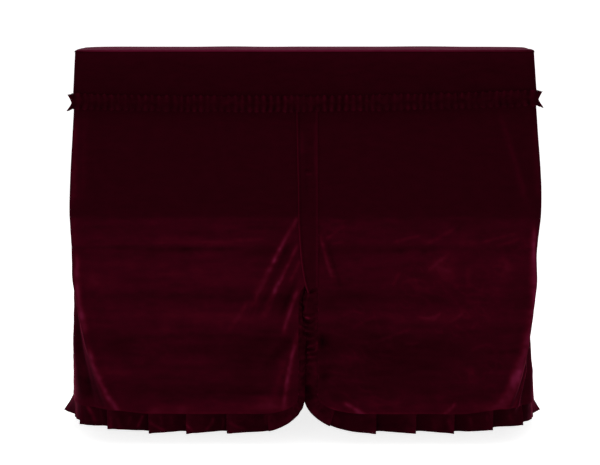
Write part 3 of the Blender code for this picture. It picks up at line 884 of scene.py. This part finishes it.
def valance_front():
    sides = []
    for side in (LEFT, RIGHT):
        share, down = np.meshgrid(np.concatenate([np.linspace(0, 0.95, 90), np.linspace(0.95, 1, 16)[1:]]),
                                  np.linspace(0, 1, 28))
        z = VALANCE_TOP_Z + down * (valance_z(side * share) - VALANCE_TOP_Z)
        sides.append(wall(side, share * corner_run(side, z), z, LAYER))
    grid = np.concatenate([sides[0][:, :0:-1], sides[1]], axis=1)
    cloth("valance_cloth_front", "valance_front", grid, valance_nap(grid), panel_velvet, (1.53, 0.18))


def valance_side(side):
    share, down = np.meshgrid(np.linspace(0, 1, 60), np.linspace(0, 1, 28))
    z = VALANCE_TOP_Z + down * (valance_z(side) - VALANCE_DROP - VALANCE_TOP_Z)
    near = corner_run(side, z) + EDGE_GAP
    grid = outward(side, wall(side, near + share * (back_run(side, z) - near), z, LAYER))
    cloth(f"valance_cloth_{side_name(side)}", f"valance_{side_name(side)}", grid, valance_nap(grid),
          panel_velvet, (0.42, 0.16))


valance_front()
for side in (LEFT, RIGHT):
    valance_side(side)

# %% [markdown]
# ## The ruche
#
# A strip of the same velvet is gathered on a thread along its middle and stitched down there, so both
# edges stand out and ripple. The gathers are never even: their pitch and depth wander along the strip.
# So the ripple is a cosine along the strip whose phase and depth wander with the lattice. That shows the
# gathers from every side, which a bump in the material wouldn't.

# %% Ruche
FRILL_CLOTH = 0.0016
RUCHE_HALF = 0.0235
RUCHE_PITCH = 0.0225
RUCHE_FLARE = 0.0085
STITCH_LIFT = 0.001


def ruche():
    sides, naps_and_painted_light = [], []
    for side in (LEFT, RIGHT):
        middle = valance_z(side)
        length = back_run(side, middle)
        gathers = round(length / RUCHE_PITCH)
        run, across = np.meshgrid(np.linspace(0, length, gathers * 10 + 1), np.linspace(1, -1, 15))
        corner = half_width(side, middle)
        centre = valance_z(side * np.clip(run / corner, 0, 1)) + 0.005
        centre = centre - VALANCE_DROP * eased((run - corner + 0.02) / 0.04)
        wander = 1.5 * lattice(run / 0.06 + 30, across * 0.35 + 9, 20 + side)
        ripple = np.cos(2 * pi * run / length * gathers + wander)
        depth = 0.0042 + 0.0016 * lattice(run / 0.05 + 3, across * 0.4 + 5, 30 + side)
        stand = abs(across) ** 1.3
        out = LAYER + FRILL_CLOTH + STITCH_LIFT + stand * RUCHE_FLARE
        out = out + (0.25 + 0.75 * stand) * depth * (1 + ripple)
        z = centre + across * RUCHE_HALF * (1 + 0.10 * ripple * abs(across))
        z = z + 0.0015 * lattice(run / 0.03 + 11, across + 4, 40 + side)
        sides.append(wall(side, run, z, out))
        wear_and_highlight = lattice(run / 0.02, across * 1.5 + 9, 91) + 0.7 * lattice(run / 0.007, across * 3 + 9, 96)
        uneven = 0.7 + 0.8 * lattice(run / 0.04 + 5, across * 0.5 + 9, 97)
        # gather crests painted lighter and troughs darker: painted highlights and shade; the wear term adds
        # random tone
        naps_and_painted_light.append(0.275 + 0.10 * ripple * uneven * (0.3 + 0.7 * stand) + 0.035 * wear_and_highlight)
    grid, nap_and_painted_light = (np.concatenate([half[0][:, :0:-1], half[1]], axis=1) for half in (sides, naps_and_painted_light))
    cloth("ruche_trim", "ruche", grid, nap_and_painted_light, frill_velvet, (3.1, 0.055), FRILL_CLOTH)


ruche()

# %% [markdown]
# ## The band
#
# The right curtain's edge is finished with a doubled band that lies over the left curtain. It narrows to
# a point where the curtains part. It is laid on both sides of the wall, and the two are blended across
# the centre, so it bends over the step between the curtains as sewn cloth does.

# %% Band
BAND_TOP_Z = -0.180
BAND_RIGHT = 0.044
BAND_POINT = 0.018
BAND_ROLL, BAND_GROOVE = 0.0012, 0.0009

BandEdge = namedtuple("BandEdge", "z left")
BAND_EDGE = (BandEdge(-0.18, -0.028), BandEdge(-0.40, -0.023), BandEdge(-0.61, -0.017),
             BandEdge(-0.705, -0.007), BandEdge(-0.757, 0.004), BandEdge(-0.775, 0.010))

# lines of painted highlight and painted shade along the band's creases
BAND_STREAKS = [Streak(*row) for row in (
    (301, 128, 302, 143, 301, 158, 8, 0.06), (306, 150, 306, 172, 307, 204, 6, -0.03),
    (304, 174, 308, 174, 313, 174, 3, 0.1), (304, 170, 308, 170, 313, 170, 3, -0.07),
    (315, 118, 315, 150, 316, 184, 4.5, 0.06),
)]


def centre_band():
    share, down = np.meshgrid(np.linspace(0, 1, 36), np.linspace(0, 1, 220))
    z = BAND_TOP_Z + down * (BAND_END_Z - BAND_POINT * bell(share / 0.35) - BAND_TOP_Z)
    left = level(z, "left", BAND_EDGE)
    x = left + share * (BAND_RIGHT - left)
    edge = np.minimum(share, 1 - share) * (BAND_RIGHT - left)
    rolled = BAND_ROLL * (1 - bell(edge / 0.003))
    rolled = rolled - BAND_GROOVE * bell((edge - 0.007) / 0.0016)
    proud = LAYER + rolled
    over_left, over_right = wall(LEFT, -x, z, proud), wall(RIGHT, x, z, proud)
    to_right = eased(x / 0.03 + 0.5)[..., None]
    nap_and_painted_light = 0.275 + 0.012 * lattice(x / 0.02 + 5, z / 0.06 + 30, 92)
    # painted highlight along the crease at the band's right edge
    nap_and_painted_light = nap_and_painted_light + 0.075 * bell((x - BAND_RIGHT + 0.004) / 0.004)
    # painted highlight along the rolled left edge, stronger lower down, and painted shade in the groove
    # beside it
    wear_and_highlight = 0.14 + 0.08 * eased((-z - 0.5) / 0.15)
    nap_and_painted_light = nap_and_painted_light + wear_and_highlight * bell((x - left - 0.0015) / 0.0027) - 0.04 * bell((x - left - 0.009) / 0.003)
    nap_and_painted_light = nap_and_painted_light + painted_streaks(BAND_STREAKS, RIGHT, x, z) + painted_streaks(BAND_STREAKS, LEFT, -x, z)
    cloth("band", "centre_band", over_left + to_right * (over_right - over_left), nap_and_painted_light, panel_velvet,
          (0.07, 0.62))


centre_band()

# %% [markdown]
# ## The opening's frills
#
# Below the band a narrow gathered frill is sewn up each curtain's edge and round its lower corner. Its
# outer edges nearly touch, so a table of the slit's middle and its gap sets their width. Where the edge
# turns, the frill's rows fan out round the corner, as a strip does that is eased round a curve.

# %% Slit frills
SLIT_PITCH = 0.0235
SLIT_CURL, CURL_HEIGHT = 0.019, 0.060
FRILL_TUCK = 0.008
SLIT_RIPPLE = 0.0048

Slit = namedtuple("Slit", "z middle gap")
SLIT = (
    Slit(-0.757, 0.001, 0.0020),
    Slit(-0.800, -0.006, 0.0042),
    Slit(-0.845, -0.004, 0.0035),
    Slit(-0.900, 0.003, 0.0015),
    Slit(-0.960, 0.006, 0.0040),
    Slit(-1.020, 0.005, 0.0025),
    Slit(-1.065, 0.002, 0.0010),
    Slit(-1.121, -0.001, -0.0020),
)

# lines of painted highlight on the frills' gathers and crests, and painted shade in the dark gap at the foot
# of the opening
SLIT_STREAKS = [Streak(*row) for row in (
    (311, 288, 307, 301, 305, 316, 3, 0.14), (304, 319, 307, 318, 310, 320, 4.5, 0.28),
    (295, 322, 298, 325, 302, 329, 4, 0.18), (308, 384, 309, 394, 311, 405, 13, -0.11),
    (316, 312, 317, 321, 315, 333, 3.5, 0.12), (317, 341, 317, 347, 315, 354, 4, 0.16),
    (315, 282, 317, 287, 317, 294, 3.5, 0.08), (306, 353, 309, 355, 311, 359, 3.5, 0.14),
    (306, 368, 309, 371, 310, 375, 3.5, 0.12), (316, 366, 316, 374, 317, 382, 4, 0.08),
    (299, 294, 298, 308, 298, 324, 3, 0.12), (298, 334, 298, 342, 297, 350, 3, 0.1),
    (296, 367, 298, 371, 300, 374, 3.5, 0.12), (297, 373, 294, 378, 291, 384, 3.5, 0.16),
    (291, 385, 290, 391, 292, 398, 3.5, 0.1), (287, 400, 293, 402, 300, 405, 3.5, 0.12),
)]


def slit_frill(side):
    curtain = CURTAINS[side]
    first = np.arcsin(1 - (curtain.folds[0] - curtain.edge) / curtain.wide)
    bend = np.hypot(curtain.wide, curtain.high) / 2 ** 0.5 * (pi / 2 - first)
    rise = BAND_END_Z - (SEAM_Z + curtain.high)
    gathers = round((bend + rise) / SLIT_PITCH)
    along, out = np.meshgrid(np.linspace(0, bend + rise, 14 * gathers + 1), np.linspace(0, 1, 16))
    angle = first + (pi / 2 - first) * np.clip(along / bend, 0, 1)
    across, down = curtain.high * np.sin(angle), curtain.wide * np.cos(angle)
    size = np.hypot(across, down)
    edge_run = curtain.edge + curtain.wide * (1 - np.sin(angle))
    edge_z = SEAM_Z + curtain.high * (1 - np.cos(angle)) + np.maximum(along - bend, 0)
    slit_width = curtain.edge - side * level(edge_z, "middle", SLIT) - level(edge_z, "gap", SLIT)
    to_hem = (np.cos(angle) / np.cos(first)) ** 1.6
    width = slit_width + (SEAM_Z - HEM_Z - slit_width) * to_hem
    ragged = 1 + 0.12 * lattice(along / 0.018 + 3, out * 0 + 7, 50 + side) * eased((edge_z + 1.09) / 0.04)
    reach = out * (FRILL_TUCK + width * ragged) - FRILL_TUCK
    settled = eased(along / 0.04)
    wander = 3.2 * lattice(along / 0.045 + 6, out * 1.6 + 3, 60 + side) + 1.4 * out
    ripple = np.sin(2 * pi * along * gathers / (bend + rise) + side + wander)
    uneven = 0.55 + 0.9 * lattice(along / 0.05 + 2, out + 6, 65 + side)
    ripple = SLIT_RIPPLE * out * settled * ripple * uneven
    curl = SLIT_CURL * out ** 2 * bell((edge_z - SEAM_Z - CURL_HEIGHT) / 0.06) * (side == RIGHT)
    depth = ripple - LAYER - 0.0015 - 0.006 * out * settled - curl
    run, z = edge_run - reach * across / size, edge_z - reach * down / size
    grid = wall(side, run, z, depth)
    crumpled = lattice(along / 0.018, out * 2.5 + 9, 93) + 0.7 * lattice(along / 0.008, out * 4 + 9, 95)
    shaded = eased((out - 0.45) / 0.5) * eased((edge_z + 1.13) / 0.03)
    # gather crests painted lighter and troughs darker, and the frills' outer part above the opening's foot
    # painted darker: painted highlights and shade; crumpled adds random tone
    nap_and_painted_light = 0.285 + 9 * ripple + 0.045 * crumpled - 0.05 * shaded + painted_streaks(SLIT_STREAKS, side, run, z)
    grid, nap_and_painted_light = (grid, nap_and_painted_light) if side == LEFT else (grid[:, ::-1], nap_and_painted_light[:, ::-1])
    cloth(f"slit_trim_{side_name(side)}", f"slit_frill_{side_name(side)}", grid, nap_and_painted_light, frill_velvet,
          (0.62, 0.04), FRILL_CLOTH)


for side in (LEFT, RIGHT):
    slit_frill(side)

# %% [markdown]
# ## The hem frill
#
# Along the hem the frill is laid in knife pleats: each face comes forward to a fold and turns back
# under it. In plan that is a path that doubles back on itself, so the path is worked out first and the
# sheet hangs from it, with small gathers that grow towards the hem.

# %% Pleats
PLEAT_START = 0.028
PLEAT_UNDER = 0.024
PLEAT_RISE = 0.007
SIDE_PLEATS = 4
HEM_GATHER = 0.0032
FULLNESS = 1.4

# lines of painted highlight on the pleats' folds and gathers, and two of painted shade
FRILL_STREAKS = [Streak(*row) for row in (
    (81, 407, 87, 415, 94, 427, 8, 0.22), (97, 408, 99, 417, 101, 427, 5, 0.06),
    (110, 415, 111, 423, 110, 431, 5, 0.14), (119, 417, 118, 423, 121, 430, 6, 0.08),
    (130, 416, 129, 421, 127, 428, 5, 0.08), (143, 415, 140, 422, 136, 430, 5, 0.18),
    (147, 420, 156, 427, 167, 432, 5.5, 0.16), (160, 416, 161, 421, 161, 427, 5, 0.08),
    (170, 416, 171, 421, 172, 427, 5, 0.07), (184, 420, 188, 427, 195, 433, 5.5, 0.18),
    (213, 416, 211, 425, 203, 432, 5, 0.14), (222, 416, 223, 424, 221, 432, 5, 0.08),
    (228, 421, 236, 427, 248, 430, 5, 0.09), (246, 415, 243, 419, 238, 424, 5, 0.08),
    (267, 414, 266, 420, 268, 428, 6, 0.16), (276, 412, 284, 414, 292, 409, 6, 0.1),
    (328, 413, 334, 419, 342, 426, 12, 0.07), (447, 418, 450, 425, 454, 432, 8, 0.1),
    (432, 418, 434, 425, 436, 432, 8, 0.06), (470, 417, 471, 422, 472, 429, 5, 0.1),
    (487, 415, 487, 418, 488, 422, 4, 0.1), (510, 414, 513, 420, 518, 426, 7, 0.12),
    (371, 418, 375, 425, 380, 432, 15, -0.06), (403, 420, 409, 424, 417, 427, 12, -0.05),
)]


def pleat_path(folds, steps):
    """Places along the hem, depths behind the fold and a share that is 1 at each fold."""
    starts = (folds[0] - PLEAT_START, *folds[1:-1])
    path = [(starts[0], 1.0, 0.0)]
    for start, end in zip(starts, folds[1:]):
        path += [(start + share * (end - start), 1 - share, share) for share in (0.10, 0.35, 0.62, 0.86)]
        path.append((end, 0.0, 1.0))
        if end < folds[-1]:
            back = end - PLEAT_UNDER
            path += [(end + 0.0005, 0.35, 1.0), (end, 0.72, 1.0), (back, 0.76, 0.8),
                     (back - 0.004, 0.88, 0.75), (back, 1.0, 0.7)]
    path = np.array(path)
    walked = np.cumsum(np.r_[0, np.hypot(np.diff(path[:, 0]), np.diff(path[:, 1]) * 0.012)])
    fine = np.unique(np.concatenate([np.linspace(0, walked[-1], steps * len(starts)), walked]))
    return (spline(fine, walked, column) for column in path.T)


def flare(side, run):
    """How far the hem stands out from the corner back along the side."""
    rise, fall = eased((run - 0.86) / 0.14), eased((run - 1.08) / 0.25)
    return CURTAINS[side].flare * rise * (1 - 0.6 * fall)


def hem_frill(side, name, node, folds):
    """The pleated frill along one stretch of the hem, its upper edge behind the panel's lower edge."""
    place, depth, fold = pleat_path(folds, 60)
    at_edge = FRILL_TUCK / (FRILL_TUCK + SEAM_Z - HEM_Z) + 0.02
    run, down = np.meshgrid(place, np.concatenate([[0], np.linspace(at_edge, 1, 18)]))
    seam_z = curtain_hem(side, run)
    top_z, bottom = seam_z + FRILL_TUCK, seam_z + HEM_Z - SEAM_Z - PLEAT_RISE * fold
    z = top_z + down * (bottom - top_z)
    below = np.maximum(down - at_edge, 0) / (1 - at_edge)
    layers = 0.0065 + 0.0075 * down
    gathers = lattice(run / 0.016 + 5, down * 0.7 + 3, 70 + side)
    gathers = gathers + 0.5 * lattice(run / 0.03, down + 8, 75 + side)
    gathers = HEM_GATHER * down * gathers * (1 - np.clip(depth, 0, 1)) * (0.3 + 0.7 * fold)
    out = gathers - LAYER - 0.0005 - layers * depth + flare(side, run) * below ** 1.15
    crest = eased((fold - 0.75) / 0.25) * (depth < 0.3)
    # painted light and shade: gathers that stand out and the pleat folds painted lighter, the pleats' inner
    # layers painted darker, the flared corners painted lighter
    nap_and_painted_light = 0.26 + 18 * gathers + 0.05 * crest - 0.08 * np.clip(depth, 0, 1)
    nap_and_painted_light = nap_and_painted_light + 0.025 * lattice(run / 0.02 + 4, down * 2 + 9, 94)
    nap_and_painted_light = nap_and_painted_light + 2.2 * flare(side, run) * below + painted_streaks(FRILL_STREAKS, side, run, z)
    cloth(name, node, outward(side, wall(side, run, z, out)), outward(side, nap_and_painted_light), frill_velvet,
          ((folds[-1] - folds[0]) * FULLNESS, 0.08), FRILL_CLOTH)


def hem_frills(side):
    """The front stretch, from the rounded corner to the side seam, and the side stretch behind it."""
    word, seam = side_name(side), seam_run(side, SEAM_Z)
    hem_frill(side, f"hem_trim_front_{word}", f"hem_frill_front_{word}", (*CURTAINS[side].folds, seam))
    side_folds = np.linspace(seam, back_run(side, SEAM_Z) - 0.012, SIDE_PLEATS + 1)
    hem_frill(side, f"hem_trim_side_{word}", f"hem_frill_side_{word}", tuple(side_folds))


for side in (LEFT, RIGHT):
    hem_frills(side)

# %% [markdown]
# ## Floor and light
#
# The photograph is a studio picture on pure white. A white floor that glows a little lights the lower
# curtains from below, and their colour is also painted lighter than the slope above, painted light. A dim
# white world and soft panels of light in front and overhead do the rest. The three lights stand in a
# table, so that moving or dimming one is a change of one row.

# %% Stage
FLOOR_Z = -1.284
FLOOR_REACH = 900.0
FLOOR_GLOW, WORLD_GLOW = 0.80, 0.45

Light = namedtuple("Light", "name place aim size power")
LIGHTS = (
    Light("overhead", (0, 0.6, 3.2), (0, 0, 0), 3.0, 70),
    Light("front_low", (0, -5.0, -0.9), (0, -0.4, -0.9), 2.5, 138),
    Light("front_left", (-2.2, -5.0, 0.4), (0, -0.3, -0.7), 1.6, 24),
)


def stage_floor():
    mesh = bpy.data.meshes.new("floor")
    corners = [(FLOOR_REACH * x, FLOOR_REACH * y, FLOOR_Z) for x, y in ((-1, -1), (1, -1), (1, 1), (-1, 1))]
    mesh.from_pydata(corners, [], [(0, 1, 2, 3)])
    material = bpy.data.materials.new("floor_white")
    material.use_nodes = True
    shader = material.node_tree.nodes["Principled BSDF"]
    set_sockets(shader, {"Base Color": (0.8, 0.8, 0.8, 1), "Roughness": 0.9, "Specular IOR Level": 0.0,
                         "Emission Color": (1, 1, 1, 1), "Emission Strength": FLOOR_GLOW})
    mesh.materials.append(material)
    add_object("floor", mesh)


def soft_light(name, place, aim, size, power):
    """A square panel of light, turned to face a point."""
    light = bpy.data.lights.new(name, "AREA")
    light.shape = "SQUARE"
    light.size = size
    light.energy = power
    lamp = add_object(name, light)
    lamp.location = place
    to_target = np.array(aim, float) - np.array(place, float)
    lamp.rotation_euler = (np.arctan2(np.hypot(to_target[0], to_target[1]), -to_target[2]), 0,
                           np.arctan2(to_target[1], to_target[0]) - pi / 2)


stage_floor()
for row in LIGHTS:
    soft_light(*row)

world = bpy.data.worlds.new("studio")
bpy.context.scene.world = world
world.use_nodes = True
set_sockets(world.node_tree.nodes["Background"], {"Color": (1, 1, 1, 1), "Strength": WORLD_GLOW})
bpy.context.scene.view_settings.view_transform = "Standard"
print("lights:", [row.name for row in LIGHTS])
